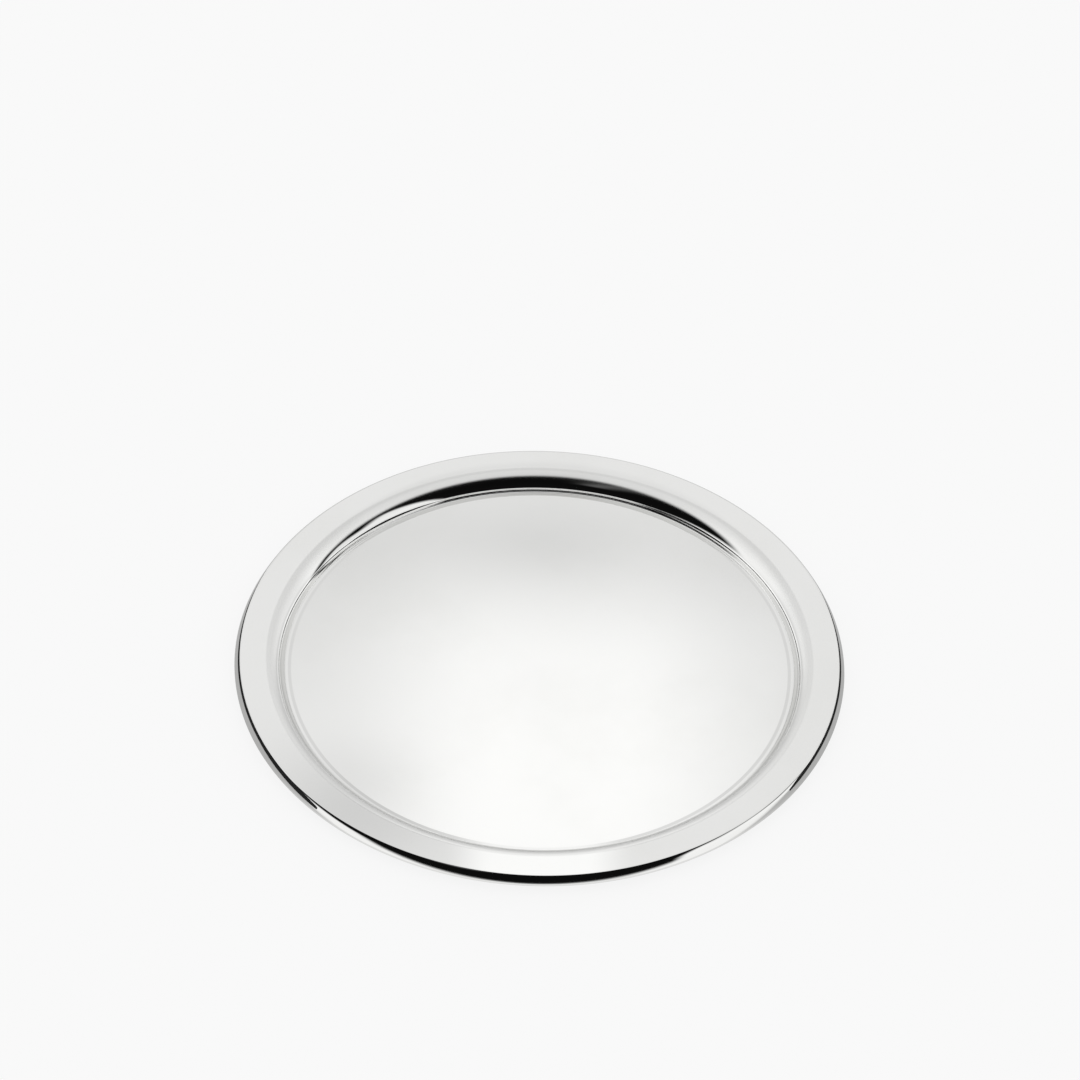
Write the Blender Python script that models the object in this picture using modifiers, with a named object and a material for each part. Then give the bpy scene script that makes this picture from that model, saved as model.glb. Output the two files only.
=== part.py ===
# Round metal serving tray with a raised base, a low wall that rounds over
# into a wide flange, and a turned-down lip that is rolled round a wire ring.
#
# Frame: metres, +Z up. The origin is on the tray's axis, in the plane that
# the tray stands on. Every section below is drawn in the XZ plane as
# (radius, height) points and turned about Z.

import math

import bmesh
import bpy

MM = 0.001

# Overall form
TRAY_RADIUS = 175.0 * MM
TRAY_HEIGHT = 10.9 * MM
SHEET_THICKNESS = 0.8 * MM

# Base disc, raised a little so that the tray stands on the ring round it
BASE_RADIUS = 141.7 * MM
BASE_LIFT = 0.6 * MM
BASE_STEP_SLOPE = math.radians(20)
BASE_STEP_FILLET = 1.6 * MM

# Wall between the standing ring and the flange
WALL_FOOT_RADIUS = 146.6 * MM
WALL_SLOPE = math.radians(74)
WALL_FOOT_FILLET = 0.8 * MM
SHOULDER_FILLET = 12.0 * MM
FLANGE_SLOPE = math.radians(2.5)

# Lip that turns down from the flange, the wire in it and the roll round that
LIP_SLOPE = math.radians(61)
LIP_BEND_RADIUS = 2.0 * MM
WIRE_RADIUS = 0.6 * MM
WIRE_CLEARANCE = 0.3 * MM
ROLL_RADIUS = WIRE_RADIUS + WIRE_CLEARANCE + SHEET_THICKNESS
ROLL_CENTRE_HEIGHT = 6.07 * MM
ROLL_SLIT = 0.35 * MM

# How finely the round stretches are drawn
TURN_STEPS = 96
CHORD_ERROR = 0.05 * MM
WIRE_SIDES = 10
MERGE_DISTANCE = 0.02 * MM

STEEL_COLOUR = (0.79, 0.79, 0.78, 1.0)
STEEL_ROUGHNESS = 0.04
WIRE_COLOUR = (0.62, 0.62, 0.61, 1.0)
WIRE_ROUGHNESS = 0.35


def clear_scene():
    for old in list(bpy.data.objects):
        bpy.data.objects.remove(old, do_unlink=True)


def make_collection(name):
    collection = bpy.data.collections.new(name)
    bpy.context.scene.collection.children.link(collection)
    return collection


def make_metal(name, colour, roughness):
    material = bpy.data.materials.new(name)
    material.use_nodes = True
    shader = material.node_tree.nodes["Principled BSDF"]
    shader.inputs["Base Color"].default_value = colour
    shader.inputs["Metallic"].default_value = 1.0
    shader.inputs["Roughness"].default_value = roughness
    return material


def step_count(angle, radius):
    """How many chords an arc needs, so that none is further from it than the
    chord error."""
    step = 2 * math.acos(1 - CHORD_ERROR / radius)
    return max(1, math.ceil(abs(angle) / step))


def arc(centre, radius, first, last):
    """Points of an arc about a centre, from one angle to another."""
    count = step_count(last - first, radius)
    angles = [first + (last - first) * i / count for i in range(count + 1)]
    return [(centre[0] + radius * math.cos(angle),
             centre[1] + radius * math.sin(angle)) for angle in angles]


def fillet(start, corner, end, radius):
    """Points of the arc that rounds a corner between two straight stretches."""
    heading_in = math.atan2(corner[1] - start[1], corner[0] - start[0])
    heading_out = math.atan2(end[1] - corner[1], end[0] - corner[0])
    turn = heading_out - heading_in
    setback = radius * math.tan(abs(turn) / 2)
    side = math.copysign(math.pi / 2, turn)
    first = (corner[0] - setback * math.cos(heading_in),
             corner[1] - setback * math.sin(heading_in))
    centre = (first[0] + radius * math.cos(heading_in + side),
              first[1] + radius * math.sin(heading_in + side))
    return arc(centre, radius, heading_in - side, heading_out - side)


def roll_centre():
    """Centre of the rolled end of the lip: it touches the tray's radius."""
    return TRAY_RADIUS - ROLL_RADIUS, ROLL_CENTRE_HEIGHT


def bend_centre():
    """Centre of the bend between flange and lip: the bend touches the tray's
    full height and the line of the lip, which also touches the roll."""
    roll = roll_centre()
    height = TRAY_HEIGHT - LIP_BEND_RADIUS
    reach = ((LIP_BEND_RADIUS - ROLL_RADIUS + (height - roll[1]) * math.cos(LIP_SLOPE))
             / math.sin(LIP_SLOPE))
    return roll[0] - reach, height


def shoulder_corner():
    """Where the wall's line, from its foot, meets the flange's line, which
    is tangent to the top of the lip's bend."""
    centre = bend_centre()
    touch = (centre[0] - LIP_BEND_RADIUS * math.sin(FLANGE_SLOPE),
             centre[1] + LIP_BEND_RADIUS * math.cos(FLANGE_SLOPE))
    rise_at_foot = (touch[1] - SHEET_THICKNESS
                    - (touch[0] - WALL_FOOT_RADIUS) * math.tan(FLANGE_SLOPE))
    run = rise_at_foot / (math.tan(WALL_SLOPE) - math.tan(FLANGE_SLOPE))
    return WALL_FOOT_RADIUS + run, SHEET_THICKNESS + run * math.tan(WALL_SLOPE)


def lip_and_roll():
    """The lip's outer face: the bend, the straight lip, and the roll round
    the outside, below and inside, up to a slit under the lip."""
    lip_angle = math.pi / 2 - LIP_SLOPE
    slit_angle = math.acos((ROLL_RADIUS - SHEET_THICKNESS - ROLL_SLIT) / ROLL_RADIUS)
    return (arc(bend_centre(), LIP_BEND_RADIUS, math.pi / 2 + FLANGE_SLOPE, lip_angle)
            + arc(roll_centre(), ROLL_RADIUS, lip_angle, lip_angle - math.tau + slit_angle))


def sheet_section():
    """The sheet's upper face from the axis to the end of the roll."""
    ring_height = SHEET_THICKNESS
    base_height = ring_height + BASE_LIFT
    step_run = BASE_LIFT / math.tan(BASE_STEP_SLOPE)
    axis = (0.0, base_height)
    base_edge = (BASE_RADIUS, base_height)
    step_foot = (BASE_RADIUS + step_run, ring_height)
    wall_foot = (WALL_FOOT_RADIUS, ring_height)
    shoulder = shoulder_corner()
    lip = lip_and_roll()
    return ([axis]
            + fillet(axis, base_edge, step_foot, BASE_STEP_FILLET)
            + fillet(base_edge, step_foot, wall_foot, BASE_STEP_FILLET)
            + fillet(step_foot, wall_foot, shoulder, WALL_FOOT_FILLET)
            + fillet(wall_foot, shoulder, lip[0], SHOULDER_FILLET)
            + lip)


def turned_object(name, points, closed, collection):
    """An object whose mesh is a section in the XZ plane, turned by Screw."""
    section = bmesh.new()
    corners = [section.verts.new((radius, 0.0, height)) for radius, height in points]
    for first, second in zip(corners, corners[1:]):
        section.edges.new((first, second))
    if closed:
        section.edges.new((corners[-1], corners[0]))
    mesh = bpy.data.meshes.new(name)
    section.to_mesh(mesh)
    section.free()
    piece = bpy.data.objects.new(name, mesh)
    collection.objects.link(piece)
    screw = piece.modifiers.new("turn", "SCREW")
    screw.axis = "Z"
    screw.angle = math.tau
    screw.steps = TURN_STEPS
    screw.render_steps = TURN_STEPS
    screw.use_merge_vertices = True
    screw.merge_threshold = MERGE_DISTANCE
    screw.use_smooth_shade = True
    return piece


def make_tray_sheet(collection):
    piece = turned_object("tray_sheet", sheet_section(), False, collection)
    wall = piece.modifiers.new("sheet", "SOLIDIFY")
    wall.thickness = SHEET_THICKNESS
    wall.offset = -1.0
    wall.use_even_offset = True
    piece.data.materials.append(make_metal("polished_steel", STEEL_COLOUR, STEEL_ROUGHNESS))
    return piece


def make_rim_wire(collection):
    centre = roll_centre()
    angles = [-math.tau * i / WIRE_SIDES for i in range(WIRE_SIDES)]
    points = [(centre[0] + WIRE_RADIUS * math.cos(angle),
               centre[1] + WIRE_RADIUS * math.sin(angle)) for angle in angles]
    piece = turned_object("rim_wire", points, True, collection)
    piece.data.materials.append(make_metal("wire_steel", WIRE_COLOUR, WIRE_ROUGHNESS))
    return piece


def main():
    clear_scene()
    collection = make_collection("serving_tray")
    make_tray_sheet(collection)
    make_rim_wire(collection)


main()
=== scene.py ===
import bpy
import math
import numpy as np
from mathutils import Matrix, Vector


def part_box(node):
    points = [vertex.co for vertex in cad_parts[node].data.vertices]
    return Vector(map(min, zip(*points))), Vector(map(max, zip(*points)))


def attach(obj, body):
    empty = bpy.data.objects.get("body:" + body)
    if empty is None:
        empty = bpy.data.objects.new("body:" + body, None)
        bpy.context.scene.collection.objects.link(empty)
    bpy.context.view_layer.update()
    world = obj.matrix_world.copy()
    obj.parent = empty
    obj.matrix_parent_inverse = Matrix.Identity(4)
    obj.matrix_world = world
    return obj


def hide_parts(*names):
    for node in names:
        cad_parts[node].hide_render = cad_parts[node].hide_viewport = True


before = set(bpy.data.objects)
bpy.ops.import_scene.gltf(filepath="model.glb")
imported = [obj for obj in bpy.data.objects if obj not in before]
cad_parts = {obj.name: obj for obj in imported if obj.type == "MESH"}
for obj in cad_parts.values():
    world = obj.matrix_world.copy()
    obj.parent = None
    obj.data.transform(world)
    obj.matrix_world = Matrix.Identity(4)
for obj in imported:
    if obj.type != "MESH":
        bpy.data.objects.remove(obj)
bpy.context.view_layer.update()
print("frame loaded:", ", ".join(sorted(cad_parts)))

mm = 0.001
slant = 0.5 ** 0.5                          # the sine of 45 degrees, at which the camera looks down


class Value:
    # wraps a socket, so that an expression on values adds its Math nodes
    def __init__(self, shader, socket):
        self.shader = shader
        self.socket = socket

    def maths(self, operation, first, second=None):
        sockets = {0: first} if second is None else {0: first, 1: second}
        return self.shader.node("ShaderNodeMath", {"operation": operation}, sockets)

    def __add__(self, other):
        return self.maths("ADD", self, other)

    def __radd__(self, other):
        return self.maths("ADD", other, self)

    def __sub__(self, other):
        return self.maths("SUBTRACT", self, other)

    def __rsub__(self, other):
        return self.maths("SUBTRACT", other, self)

    def __mul__(self, other):
        return self.maths("MULTIPLY", self, other)

    def __rmul__(self, other):
        return self.maths("MULTIPLY", other, self)

    def __truediv__(self, other):
        return self.maths("DIVIDE", self, other)

    def __pow__(self, other):
        return self.maths("POWER", self, other)

    def __rpow__(self, other):
        return self.maths("POWER", other, self)

    def __neg__(self):
        return self.maths("MULTIPLY", self, -1.0)


class Shader:
    # one node tree, emptied, and one method that adds any node to it
    def __init__(self, owner):
        owner.use_nodes = True
        self.tree = owner.node_tree
        self.tree.nodes.clear()

    def node(self, kind, settings=None, sockets=None, output=0):
        added = self.tree.nodes.new(kind)
        for name, value in (settings or {}).items():
            setattr(added, name, value)
        for name, value in (sockets or {}).items():
            if isinstance(value, Value):
                self.tree.links.new(value.socket, added.inputs[name])
            else:
                added.inputs[name].default_value = value
        return Value(self, added.outputs[output]) if added.outputs else None

    def step(self, value, start, end):
        # 0 before start, 1 past end, a smooth rise between
        return self.node("ShaderNodeMapRange", {"interpolation_type": "SMOOTHSTEP"},
                         {"Value": value, "From Min": start, "From Max": end})

    def mixed(self, factor, first, second):
        # two colours mixed by a factor
        return self.node("ShaderNodeMix", {"data_type": "RGBA"}, {0: factor, 6: first, 7: second}, 2)

    def split(self, vector):
        parts = self.node("ShaderNodeSeparateXYZ", None, {0: vector})
        sockets = parts.socket.node.outputs
        return [Value(self, sockets[axis]) for axis in ("X", "Y", "Z")]

    def joined(self, x, y, z):
        return self.node("ShaderNodeCombineXYZ", None, {0: x, 1: y, 2: z})

    def place(self):
        # the object coordinates
        return self.node("ShaderNodeTexCoord", None, None, 3)

    def rays(self, *names):
        # which kinds of ray are looking, each 1 or 0
        sockets = self.node("ShaderNodeLightPath").socket.node.outputs
        return [Value(self, sockets["Is " + name + " Ray"]) for name in names]

    def emission(self, colour, strength=1.0):
        return self.node("ShaderNodeEmission", None, {"Color": colour, "Strength": strength})

    def over(self, share, below, above):
        # one surface laid over another by a share
        return self.node("ShaderNodeMixShader", None, {0: share, 1: below, 2: above})

    def surface(self, surface):
        self.node("ShaderNodeOutputMaterial", None, {"Surface": surface})


def hill(square):
    # 1 where the square is 0, falling away smoothly: e to the power of minus the square
    return 2.718 ** -square


def newMaterial(name):
    material = bpy.data.materials.new(name)
    return material, Shader(material)


def newPiece(name, verts, faces):
    # a mesh object at the origin
    mesh = bpy.data.meshes.new(name)
    mesh.from_pydata(verts.tolist(), [], faces)
    piece = bpy.data.objects.new(name, mesh)
    bpy.context.scene.collection.objects.link(piece)
    return piece


# camera: it looks at the tray's middle from the front, half way up
lens = {
    "distance": 2.1,
    "elevation": 45.005,
    "roll": 1.78,
    "pivot": (0, 0, 0.0008),
    "pivotPixel": (539.597, 662.983),      # where the pivot shows in a 1080 square picture
    "pixelsPerTangent": 3645.35,
    "picture": 1080,
    "sensor": 36,
}


def addCamera(c):
    # the camera stands on a sphere round the pivot, is rolled, and then turned so that the pivot
    # shows at its pixel
    lean = math.radians(c["elevation"])
    pivot = Vector(c["pivot"])
    place = pivot + Vector((0, -math.cos(lean), math.sin(lean))) * c["distance"]
    ahead = (pivot - place).normalized()
    right = ahead.cross(Vector((0, 0, 1))).normalized()
    turn = Matrix((right, right.cross(ahead), -ahead)).transposed()
    turn = turn @ Matrix.Rotation(math.radians(c["roll"]), 3, "Z")
    half = c["picture"] / 2
    sight = Vector(((c["pivotPixel"][0] - half) / c["pixelsPerTangent"],
                    (half - c["pivotPixel"][1]) / c["pixelsPerTangent"], -1)).normalized()
    turn = turn @ Vector((0, 0, -1)).rotation_difference(sight).to_matrix().inverted()
    data = bpy.data.cameras.new("camera")
    data.sensor_width = c["sensor"]
    data.lens = c["pixelsPerTangent"] / c["picture"] * c["sensor"]
    camera = bpy.data.objects.new("camera", data)
    camera.matrix_world = Matrix.Translation(place) @ turn.to_4x4()
    bpy.context.scene.collection.objects.link(camera)
    bpy.context.scene.camera = camera


def arcRun(start, heading, turn, radius, step):
    # an arc from a start point: the centre is beside the start, and each point is the centre less
    # the radius along the normal (-sin h, cos h) of its heading h
    side = math.copysign(1, turn)
    headings = heading + np.linspace(0, turn, max(2, math.ceil(abs(turn) / step)) + 1)
    normals = np.stack([-np.sin(headings), np.cos(headings)], 1)
    centre = np.asarray(start) + side * radius * normals[0]
    return centre - side * radius * normals, normals


def roundedCorners(corners, radii, step):
    # straight lines through the corners, with each inner corner rounded by an arc that is
    # tangent to both lines: it starts radius * tan(turn / 2) before the corner
    corners = np.asarray(corners, float)
    lines = np.diff(corners, axis=0)
    headings = np.arctan2(lines[:, 1], lines[:, 0])
    runs = []
    for corner, before, after, radius in zip(corners[1:-1], headings, headings[1:], radii):
        back = radius * math.tan(abs(after - before) / 2)
        start = corner - back * np.array([math.cos(before), math.sin(before)])
        runs.append(arcRun(start, before, after - before, radius, step))
    return [np.concatenate(part) for part in zip(*runs)]


def arcChain(heading, arcs):
    # arcs of (turn, radius, step), each starting where the last one ends, with the same heading
    points, normals, start = [], [], np.zeros(2)
    for turn, radius, step in arcs:
        run, facing = arcRun(start, heading, turn, radius, step)
        start, heading = run[-1], heading + turn
        points.append(run[1:] if points else run)
        normals.append(facing[1:] if normals else facing)
    return np.concatenate(points), np.concatenate(normals)


def turnedMesh(name, points, normalsBefore, normalsAfter, turns, poles):
    # a section (radius, height) turned about Z: x = radius cos a, y = radius sin a, z = height.
    # Line i runs from point i to the next and has its own normal at each end. With poles the
    # first and last points are on the axis, and without them the section closes on itself
    angles = np.arange(turns) * (2 * math.pi / turns)
    rings = points[1:-1] if poles else points
    verts = np.stack([rings[:, :1] * np.cos(angles), rings[:, :1] * np.sin(angles),
                      np.repeat(rings[:, 1:], turns, 1)], -1).reshape(-1, 3)
    count = len(rings)
    lines = np.arange(count - 1 if poles else count)[:, None]
    here, after = np.arange(turns)[None, :], (np.arange(turns)[None, :] + 1) % turns
    following = (lines + 1) % count
    quads = np.stack([lines * turns + here, following * turns + here,
                      following * turns + after, lines * turns + after], -1).reshape(-1, 4)
    faces = quads.tolist()
    first = 1 if poles else 0

    def facing(normal, angle):
        return np.stack([normal[..., 0] * np.cos(angle), normal[..., 0] * np.sin(angle),
                         normal[..., 1] * np.ones_like(angle)], -1)

    a, b = angles[here], angles[after]
    start, end = normalsBefore[lines + first], normalsAfter[lines + first]
    corners = [np.stack([facing(start, a), facing(end, a), facing(end, b), facing(start, b)], 2)
               .reshape(-1, 3)]
    if poles:
        top, under = len(verts), len(verts) + 1
        verts = np.concatenate([verts, [(0, 0, points[0][1]), (0, 0, points[-1][1])]])
        ring = np.arange(turns)
        nextInRing = (ring + 1) % turns
        last = (count - 1) * turns
        faces += np.stack([np.full(turns, top), ring, nextInRing], 1).tolist()
        faces += np.stack([last + ring, np.full(turns, under), last + nextInRing], 1).tolist()
        corners.append(np.tile((0.0, 0.0, 1.0), (3 * turns, 1)))
        corners.append(np.tile((0.0, 0.0, -1.0), (3 * turns, 1)))
    piece = newPiece(name, verts, faces)
    piece.data.shade_smooth()
    piece.data.normals_split_custom_set(np.concatenate(corners).tolist())
    return piece


# tray, in mm and degrees: one sheet, pressed to this section and turned
tray = {
    "radius": 175.0,
    "height": 10.9,
    "sheet": 0.8,
    "baseRadius": 142.9,
    "baseLift": 0.12,                       # the base disc stands this far above the ring round it
    "stepSlope": 4,
    "stepFillet": 0.8,
    "footRadius": 146.6,
    "footFillet": 0.9,
    "wallSlope": 74,
    "shoulderFillet": 12.0,
    "flangeSlope": 2.5,
    "lipArcs": ((47.0, 1.5), (59.5, 5.5), (62.8, 52.0)),   # tilt of the face at each arc's end, radius
    "rollRadius": 1.7,
    "rollSlit": 0.35,
    "baseRings": (45.0, 95.0, 135.0),
    "turns": 360,
    "step": 1.5,                            # degrees of the shoulder's arc for each facet
    "undersideStep": 4.0,
    "filletStep": 2,                        # how many times that for the small fillets, and for the roll
    "rollStep": 5,
    "lipFacets": 40,                        # a lip arc of this many degrees has facets of one step
}


def trayFace(t, step):
    # the upper face from the axis to the end of the roll: points and unit normals
    small = math.radians(t["filletStep"] * step)
    fine = math.radians(step)
    flange, wall = math.radians(t["flangeSlope"]), math.radians(t["wallSlope"])
    arcs, tilt = [], -t["flangeSlope"]
    for end, radius in t["lipArcs"]:
        facet = max(fine * (end - tilt) / t["lipFacets"], fine / 2)
        arcs.append((-math.radians(end - tilt), radius, facet))
        tilt = end
    slit = math.acos((t["rollRadius"] - t["sheet"] - t["rollSlit"]) / t["rollRadius"])
    arcs.append((slit - 2 * math.pi, t["rollRadius"], math.radians(t["rollStep"] * step)))
    lip, lipNormals = arcChain(flange, arcs)
    lip = lip + (t["radius"] - lip[:, 0].max(), t["height"] - lip[:, 1].max())
    ring = t["sheet"]
    rise = lip[0][1] - ring - (lip[0][0] - t["footRadius"]) * math.tan(flange)
    run = rise / (math.tan(wall) - math.tan(flange))
    corners = [(0, ring + t["baseLift"]), (t["baseRadius"], ring + t["baseLift"]),
               (t["baseRadius"] + t["baseLift"] / math.tan(math.radians(t["stepSlope"])), ring),
               (t["footRadius"], ring), (t["footRadius"] + run, ring + run * math.tan(wall)), lip[0]]
    fillets = [t["stepFillet"], t["stepFillet"], t["footFillet"]]
    inner, innerNormals = roundedCorners(corners[:5], fillets, small)
    shoulder, shoulderNormals = roundedCorners(corners[3:], [t["shoulderFillet"]], fine)
    rings = np.array([(radius, ring + t["baseLift"]) for radius in (0, *t["baseRings"])])
    upright = np.tile((0.0, 1.0), (len(rings), 1))
    return (np.concatenate([rings, inner, shoulder, lip]) * mm,
            np.concatenate([upright, innerNormals, shoulderNormals, lipNormals]))


def traySheet(t):
    # the face, and its underside, which is the face moved by the sheet's thickness against the normal
    over, overNormals = trayFace(t, t["step"])
    under, underNormals = trayFace(t, t["undersideStep"])
    under = (under - t["sheet"] * mm * underNormals)[::-1]
    underNormals = -underNormals[::-1]
    points = np.concatenate([over, under])
    before = np.concatenate([overNormals, underNormals])
    after = np.roll(before, -1, 0)
    edge = len(over) - 1                    # the sheet's cut edge, at the end of the roll
    cut = points[edge + 1] - points[edge]
    before[edge] = after[edge] = np.array([-cut[1], cut[0]]) / np.hypot(*cut)
    return turnedMesh("tray_sheet_polished", points, before, after, t["turns"], True)


# rim wire, in mm: the ring that the lip is rolled round
wire = {"radius": 0.6, "ring": tray["radius"] - tray["rollRadius"], "turns": 240, "sides": 16}


def rimWire(w, height):
    # a ring: radius = ring + wire cos b, height = middle + wire sin b
    around = -np.arange(w["sides"]) * (2 * math.pi / w["sides"])
    normals = np.stack([np.cos(around), np.sin(around)], 1)
    points = (np.array([w["ring"], height]) + w["radius"] * normals) * mm
    return turnedMesh("rim_wire_drawn", points, normals, np.roll(normals, -1, 0), w["turns"], False)


polish = {
    "colour": (0.79, 0.79, 0.78, 1),
    "smudgeColour": (0.765, 0.765, 0.752, 1),
    "roughness": 0.03,
    "haze": 0.03,                           # added where the polish is less even
    "bend": (149.0, 152.0, 156.0, 160.0),   # radii in mm between which the sheet was stretched most
    "bendRoughness": 0.13,                  # added there, because the polish reaches it least
    "marks": 9.0,                           # polishing marks for each mm of radius
    "marksTurn": 6.0,                       # how soon a mark ends on its way round the tray, per metre
    "marksHeight": 0.0000012,
    "waves": 26.0,                          # waviness of the pressed sheet, per metre
    "wavesHeight": 0.0000006,
    "smudges": 9.0,                         # wiped patches, per metre
    "smudgeEdge": (0.42, 0.72),
}


def polishedSteel(p):
    material, s = newMaterial("mirror_polish")
    place = s.place()
    x, y, z = s.split(place)
    radius = (x * x + y * y) ** 0.5
    # buffing marks run round the tray, so the noise is read along the radius and hardly round it
    perMetre = 1000 * p["marks"]
    marks = s.node("ShaderNodeTexNoise", {"noise_dimensions": "3D"}, {
        "Vector": s.joined(radius * perMetre, z * perMetre, x * p["marksTurn"]),
        "Scale": 1.0, "Detail": 2.0, "Roughness": 0.6})
    waves = s.node("ShaderNodeTexNoise", None, {"Vector": place, "Scale": p["waves"], "Detail": 1.0})
    smudge = s.node("ShaderNodeTexNoise", None, {
        "Vector": place, "Scale": p["smudges"], "Detail": 5.0, "Roughness": 0.6})
    smear = s.step(smudge, *p["smudgeEdge"])
    start, full, ease, end = (value * mm for value in p["bend"])
    bend = s.step(radius, start, full) * (1 - s.step(radius, ease, end))
    bump = s.node("ShaderNodeBump", None, {"Strength": 1.0, "Distance": p["marksHeight"], "Height": marks})
    bump = s.node("ShaderNodeBump", None, {
        "Strength": 1.0, "Distance": p["wavesHeight"], "Height": waves, "Normal": bump})
    s.surface(s.node("ShaderNodeBsdfPrincipled", None, {
        "Base Color": s.mixed(smear, p["colour"], p["smudgeColour"]), "Metallic": 1.0,
        "Roughness": p["roughness"] + smear * p["haze"] + bend * p["bendRoughness"], "Normal": bump}))
    return material


dull = {
    "colour": (0.62, 0.62, 0.61, 1),
    "darkColour": (0.48, 0.475, 0.465, 1),
    "roughness": 0.34,
    "scaleRoughness": 0.12,                 # added where the drawing scale is left
    "lines": 3.0,
    "linesHeight": 0.00002,
    "scale": 700.0,                         # specks of drawing scale, per metre
    "maskEdge": (0.4, 0.62),
}


def drawnWire(d, ring, height):
    material, s = newMaterial("drawn_wire")
    place = s.place()
    x, y, z = s.split(place)
    # drawing lines run along the wire: the noise is read round its own section
    side = s.node("ShaderNodeMath", {"operation": "ARCTAN2"},
                  {0: z - height * mm, 1: (x * x + y * y) ** 0.5 - ring * mm})
    lines = s.node("ShaderNodeTexNoise", None, {
        "Vector": s.joined(side * 4, x * 3, y * 3), "Scale": d["lines"], "Detail": 4.0})
    scale = s.node("ShaderNodeTexNoise", None, {"Vector": place, "Scale": d["scale"], "Detail": 3.0})
    mask = s.step(lines * 0.6 + scale * 0.4, *d["maskEdge"])
    bump = s.node("ShaderNodeBump", None, {"Strength": 0.4, "Distance": d["linesHeight"], "Height": lines})
    s.surface(s.node("ShaderNodeBsdfPrincipled", None, {
        "Base Color": s.mixed(mask, d["darkColour"], d["colour"]), "Metallic": 1.0,
        "Roughness": d["roughness"] + mask * d["scaleRoughness"], "Normal": bump}))
    return material


# room, in metres: the floor and the light that falls on it
room = {
    "white": 0.947,                         # what the camera sees round the tray
    "sky": 1.05,                            # light on the floor
    "floorRadius": 30.0,
    "floorDepth": 0.0001,                   # how far the floor lies below the tray
    "floorColour": (0.9, 0.9, 0.9, 1),
    "floorShadow": 0.12,                    # share of the real, shaded floor in what the camera sees
    "floorShadowInSteel": 0.2,
    "shade": 0.55,                          # painted shade: the steel sees the floor darker beside the tray than in front
    "shadeForward": (0.35, 0.95),           # the shade ends between these, where 1 is straight in front
    "shadeStart": (0.168, 0.176),           # and it is a ring round the tray
    "shadeEnd": (0.30, 0.45),
    "nearZero": 0.0001,                     # keeps the middle from being divided by nothing
    "turns": 96,
}


def addWorld(r):
    # rays from the camera, a mirror or glass see the even white, and all others bring the sky's light
    world = bpy.data.worlds.new("studio")
    bpy.context.scene.world = world
    s = Shader(world)
    camera, glossy, through = s.rays("Camera", "Glossy", "Transmission")
    seen = s.node("ShaderNodeMath", {"operation": "MINIMUM"}, {0: camera + glossy + through, 1: 1.0})
    s.node("ShaderNodeOutputWorld", None, {"Surface": s.node("ShaderNodeBackground", None, {
        "Color": (1, 1, 1, 1), "Strength": r["sky"] + seen * (r["white"] - r["sky"])})})


def circle(turns):
    angles = np.arange(turns) * (2 * math.pi / turns)
    return np.stack([np.cos(angles), np.sin(angles)], 1)


def addFloor(r):
    # one round face: an even white laid over the real, shaded floor by a share. From below it is clear
    rim = np.c_[circle(r["turns"]) * r["floorRadius"], np.full(r["turns"], -r["floorDepth"])]
    floor = newPiece("floor", rim, [list(range(r["turns"]))])
    material, s = newMaterial("floor_white")
    camera, glossy, through = s.rays("Camera", "Glossy", "Transmission")
    share = (camera * (1 - r["floorShadow"]) + glossy * (1 - r["floorShadowInSteel"])
             + through * (1 - r["floorShadow"]))
    x, y, z = s.split(s.place())
    radius = (x * x + y * y + r["nearZero"]) ** 0.5
    forward = s.step(-y / radius, *r["shadeForward"])
    beside = s.step(radius, *r["shadeStart"]) * (1 - s.step(radius, *r["shadeEnd"]))
    # painted shade: mirrored rays see the white darkened in a ring beside the tray, but not in front
    shade = glossy * (1 - forward) * beside * r["shade"]
    painted = s.node("ShaderNodeBsdfDiffuse", None, {"Color": r["floorColour"]})
    above = s.over(share, painted, s.emission(r["white"] * (1 - shade)))
    geometry = s.node("ShaderNodeNewGeometry").socket.node.outputs
    s.surface(s.over(Value(s, geometry["Backfacing"]), above, s.node("ShaderNodeBsdfTransparent")))
    floor.data.materials.append(material)
    return floor


def onlyInSteel(piece, material):
    # a piece that only mirrored rays meet
    piece.data.materials.append(material)
    piece.visible_camera = piece.visible_diffuse = False
    piece.visible_shadow = piece.visible_transmission = False
    return piece


def evenPatch(s, place, size):
    # an even rectangle with soft edges, square to the way that flat steel looks
    x, y, z = s.split(place)
    up = (y - z) * slant
    wide, high, soft = size
    return (s.step(x, -wide - soft, -wide + soft) * (1 - s.step(x, wide - soft, wide + soft))
            * s.step(up, -high - soft, -high + soft) * (1 - s.step(up, high - soft, high + soft)))


# tent cloth, in degrees from straight up: across is to the right, back is away from the camera
cloth = {
    "radius": 1.0,                          # of the tent, in metres
    "turns": 96,
    "rings": 32,
    "window": (0.25, 0.20, 0.02),           # for the glow sheet, in metres: half width, half height, softness
    "nearZero": 0.000001,                   # keeps the top from being divided by nothing
    "light": 1.06,
    "high": (24.0, 40.0, 0.11),             # lighter overhead, ending between these: back, share added
    "sides": (18.0, 42.0, 0.10),            # lighter at both sides, from and to: across, share added
    "low": (54.0, 72.0, 0.24),              # darker near the floor, from and to: back, share taken away
    "edge": (-5.5, 0.0055, 0.05, 7.5),      # its front edge: back, curve right, rise left, softness
    "black": 0.005,                         # the cloth in front of that edge
    "right": (47.0, 0.0030, 4.0),           # the black's right side: across, move to the front, softness
    "left": (-76.0, 0.0030, 6.0),
    "rightCard": 1.14,                      # the pale cards past its sides
    "leftCard": 1.20,
    "horizon": (5.2, 1.6, 1.11),            # a pale strip along the floor in front: height, softness, level
    "gap": (42.0, 66.0, -8.0, 27.0, 6.0),   # a dark gap before the right card: across, back, softness
    "seam": (61.0, 11.0, 5.0),              # a dark seam further right: across, width, softness
    "fold": (-17.5, 5.0, -42.0, -8.0, 6.0),  # a fold in the black: across, width, back, softness
    "folded": 0.15,
}


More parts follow.
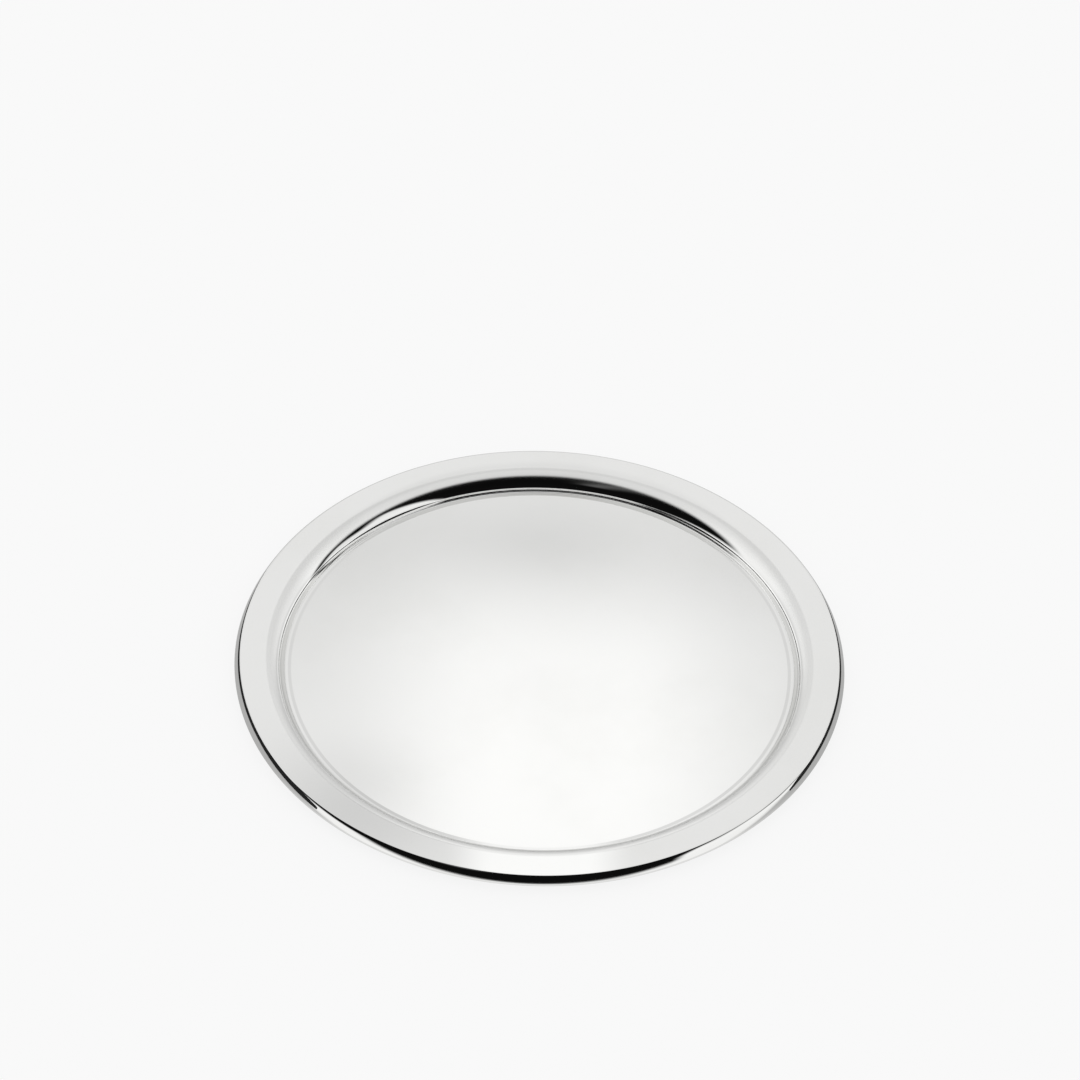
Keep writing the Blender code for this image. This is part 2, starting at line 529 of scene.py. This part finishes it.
def tentLight(s, place, c):
    # the direction is turned into two angles, across and back. A step is 0 on one side of a line and
    # 1 on the other, a band is the product of two steps, and the cloths are laid over each other
    def step(value, middle, soft):
        return s.step(value, middle - soft, middle + soft)

    def band(value, start, end, soft):
        return step(value, start, soft) * (1 - step(value, end, soft))

    x, y, z = s.split(s.node("ShaderNodeVectorMath", {"operation": "NORMALIZE"}, {0: place}))
    fromTop = s.node("ShaderNodeMath", {"operation": "ARCCOSINE"}, {0: z}) * (180 / math.pi)
    level = (x * x + y * y + c["nearZero"]) ** 0.5
    across, back = x / level * fromTop, y / level * fromTop
    toRight = s.node("ShaderNodeMath", {"operation": "MAXIMUM"}, {0: across, 1: 0.0})
    toFront = s.node("ShaderNodeMath", {"operation": "MINIMUM"}, {0: back, 1: 0.0})
    edge, curve, rise, soft = c["edge"]
    pastEdge = back - edge - toRight * toRight * curve - (toRight - across) * rise
    front = 1 - step(pastEdge, 0.0, soft)
    spread = toFront * toFront
    right = step(across - spread * c["right"][1], c["right"][0], c["right"][2])
    left = 1 - step(across - spread * c["left"][1], c["left"][0], c["left"][2])
    start, end, low, high, soft = c["gap"]
    gap = band(across, start, end, soft) * band(back, low, high, soft)
    start, wide, soft = c["seam"]
    seam = band(pastEdge, -wide, 0.0, soft) * step(across, start, soft)
    middle, wide, low, high, soft = c["fold"]
    off = (across - middle) / wide
    fold = hill(off * off) * band(back, low, high, soft)
    inside = c["black"] + fold * (c["folded"] - c["black"])
    inside = inside + right * (c["rightCard"] - inside)
    inside = inside + left * (c["leftCard"] - inside)
    inside = inside * (1 - gap)
    lit = c["light"] * (1 - s.step(back, *c["low"][:2]) * c["low"][2]
                        + (1 - s.step(back, *c["high"][:2])) * c["high"][2]
                        + s.step((across * across) ** 0.5, *c["sides"][:2]) * c["sides"][2])
    seen = lit + front * (inside - lit)
    seen = seen * (1 - seam)
    height, soft, pale = c["horizon"]
    horizon = (1 - step(90 - fromTop, height, soft)) * front
    return seen + horizon * (pale - seen)


def addTent(c):
    # half a ball: x = sin lean cos a, y = sin lean sin a, z = cos lean, each times the radius
    turns, rings = c["turns"], c["rings"]
    lean = np.linspace(0, math.pi / 2, rings + 1)[1:]
    flat = np.sin(lean)[:, None, None] * circle(turns)
    verts = np.concatenate([flat, np.broadcast_to(np.cos(lean)[:, None, None], (rings, turns, 1))], 2)
    verts = np.concatenate([verts.reshape(-1, 3), [(0, 0, 1)]]) * c["radius"]
    row, here = np.arange(rings - 1)[:, None] * turns, np.arange(turns)[None, :]
    after = (here + 1) % turns
    quads = np.stack([row + here, row + after, row + turns + after, row + turns + here], -1)
    top = np.stack([np.full(turns, len(verts) - 1), after[0], here[0]], 1)
    tent = newPiece("tent", verts, quads.reshape(-1, 4).tolist() + top.tolist())
    material, s = newMaterial("tent_cloth")
    place = s.place()
    lit = s.emission(tentLight(s, place, c))
    s.surface(s.over(evenPatch(s, place, c["window"]), lit, s.node("ShaderNodeBsdfTransparent")))
    return onlyInSteel(tent, material)


def gridMesh(name, corner, along, up, count):
    # a flat grid of faces: corner + u along + v up
    share = np.linspace(0, 1, count + 1)
    u, v = (values.reshape(-1, 1) for values in np.meshgrid(share, share))
    verts = np.asarray(corner) + u * np.asarray(along) + v * np.asarray(up)
    row = count + 1
    first = (np.arange(count)[:, None] * row + np.arange(count)[None, :]).reshape(-1)
    return newPiece(name, verts, np.stack([first, first + 1, first + row + 1, first + row], 1).tolist())


# glow sheet, in metres: a large soft lamp far behind the tent's window, that only flat steel looks at
glow = {
    "distance": 10.0,
    "half": 6.0,
    "count": 2,                             # faces along each side
    "light": 1.235,
    "size": (0.95, 0.75, 0.18),             # its bright part: half width, half height, softness
}


def addGlow(g, around):
    # its middle is straight up and back by 45 degrees from the tray's middle
    slope = np.array((0, slant, -slant)) * g["half"]
    wide = np.array((g["half"], 0, 0))
    middle = np.array((0, slant, slant)) * g["distance"]
    glowSheet = gridMesh("glow_sheet", middle - wide - slope, 2 * wide, 2 * slope, g["count"])
    material, s = newMaterial("glow_cloth")
    s.surface(s.emission(around + evenPatch(s, s.place(), g["size"]) * (g["light"] - around)))
    return onlyInSteel(glowSheet, material)


# veil: a thin grey sheet close over the tray, with a hole over the base, that only the steel shows, so it
# paints shade into the steel's reflections.
# Places are those of the steel seen through it, in metres, and shares are those of the light taken away, as
# painted shade
veil = {
    "height": 0.045,
    "halfWidth": 0.186,
    "front": -0.190,
    "back": 0.236,
    "look": 1.485,                          # height of the camera, which spreads the pattern over the veil
    "hole": (0.1420, 0.1480),
    "flange": 0.198,
    "dark": (-0.096, -0.134, 0.050, 0.050, 0.16),  # painted shade, darker at the front left: across, along, sizes, share
    "open": (0.003, 0.024, 0.052, 0.19),    # painted highlight, less shade at the front: across, half widths, share given back
    "openEnd": (-0.10, 0.0),                # and it ends between these, along
    "baseBack": (-0.010, 0.110, 0.20),      # painted shade on the base, rising from and to: along, share
    "baseMiddle": (-0.070, 0.005, 0.030),
    "baseLeft": (-0.140, -0.020, 0.180),    # and to both sides: across, share
    "baseRight": (0.045, 0.150, 0.160),
    "baseEase": 3,                          # the darker the base is already, the less its sides add
    "baseShadeSpot": (-0.002, 0.100, 0.055, 0.034, 0.07),  # painted shade spots on the base, as in dark
    "baseFrontShadeSpot": (-0.098, -0.100, 0.034, 0.034, 0.09),
    "count": 4,                             # faces along each side
}


def veilShare(s, place, c):
    # the place is first brought back along the look to the steel below
    def spot(acrossAt, alongAt, wide, deep, share):
        u, v = (x - acrossAt) / wide, (y - alongAt) / deep
        return hill(u * u + v * v) * share

    def rising(value, start, end, share):
        return s.step(value, start, end) * share

    x, y, z = s.split(place)
    spread = 1 + c["height"] / c["look"]
    x, y = x / spread, (y - c["height"]) / spread
    overHole = 1 - s.step((x * x + y * y) ** 0.5, *c["hole"])
    middle, full, end, given = c["open"]
    off = x - middle
    clear = (1 - s.step((off * off) ** 0.5, full, end)) * (1 - s.step(y, *c["openEnd"]))
    flange = c["flange"] + spot(*c["dark"]) - clear * given
    base = rising(y, *c["baseBack"])
    start, end, share = c["baseLeft"]
    base = base + (1 - s.step(x, start, end)) * share * (1 - base * c["baseEase"])
    base = base + rising(x, *c["baseRight"]) * (1 - base * c["baseEase"])
    base = base + rising(y, *c["baseMiddle"]) + spot(*c["baseShadeSpot"]) + spot(*c["baseFrontShadeSpot"])
    # the share is painted shade in the steel's reflections: light taken away, less of it where clear
    share = flange + overHole * (base - flange)
    return s.node("ShaderNodeMath", {"operation": "MAXIMUM"}, {0: share, 1: 0.0})


def addVeil(c):
    corner = (-c["halfWidth"], c["front"], c["height"])
    along, up = (2 * c["halfWidth"], 0, 0), (0, c["back"] - c["front"], 0)
    gauze = gridMesh("veil", corner, along, up, c["count"])
    material, s = newMaterial("veil_painted_shade")
    nothing = s.emission((0, 0, 0, 1), 0.0)
    # painted shade: clear where the share is 0, black where it is 1, seen only in the steel
    s.surface(s.over(veilShare(s, s.place(), c), s.node("ShaderNodeBsdfTransparent"), nothing))
    return onlyInSteel(gauze, material)


# side strips: low black bands close round the tray's left and right, that the lip's bend shows.
# Angles are in degrees from the right, counted over the back
strips = {
    "radius": 0.182,
    "height": (0.0078, 0.031),
    "left": (157.0, 225.0),
    "right": (-34.0, 22.0),
    "ends": 0.02,                           # share of the sine wave left off at each end
    "steps": 24,
    "light": 0.02,
}


def bandMesh(name, c, turn):
    # an upright band: x = radius cos a, y = radius sin a, from its foot to a top that is a sine wave
    steps, (low, high) = c["steps"], c["height"]
    share = np.linspace(0, 1, steps + 1)
    angle = np.radians(turn[0] + share * (turn[1] - turn[0]))
    top = low + (high - low) * np.sin(math.pi * (c["ends"] + (1 - 2 * c["ends"]) * share))
    flat = np.stack([np.cos(angle), np.sin(angle)], 1) * c["radius"]
    verts = np.concatenate([np.c_[flat, np.full(steps + 1, low)], np.c_[flat, top]])
    first = np.arange(steps)
    quads = np.stack([first, first + 1, first + steps + 2, first + steps + 1], 1)
    return newPiece(name, verts, quads.tolist())


def addStrips(c):
    material, s = newMaterial("strip_black")
    s.surface(s.emission((1, 1, 1, 1), c["light"]))
    return [onlyInSteel(bandMesh("strip_" + side, c, c[side]), material) for side in ("left", "right")]


def addStudio():
    addWorld(room)
    staged = [addFloor(room), addTent(cloth), addGlow(glow, cloth["light"]), addVeil(veil)]
    staged += addStrips(strips)
    bpy.context.scene.view_settings.view_transform = "Standard"


addCamera(lens)
print("camera placed")

sheet = traySheet(tray)
sheet.data.materials.append(polishedSteel(polish))
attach(sheet, "root")
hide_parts("tray_sheet")
print("tray sheet turned:", len(sheet.data.polygons), "faces")

low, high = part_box("rim_wire")
wireHeight = (low.z + high.z) / 2 / mm
ring = rimWire(wire, wireHeight)
ring.data.materials.append(drawnWire(dull, wire["ring"], wireHeight))
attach(ring, "root")
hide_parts("rim_wire")
print("rim wire turned:", len(ring.data.polygons), "faces")

addStudio()
print("studio lit")
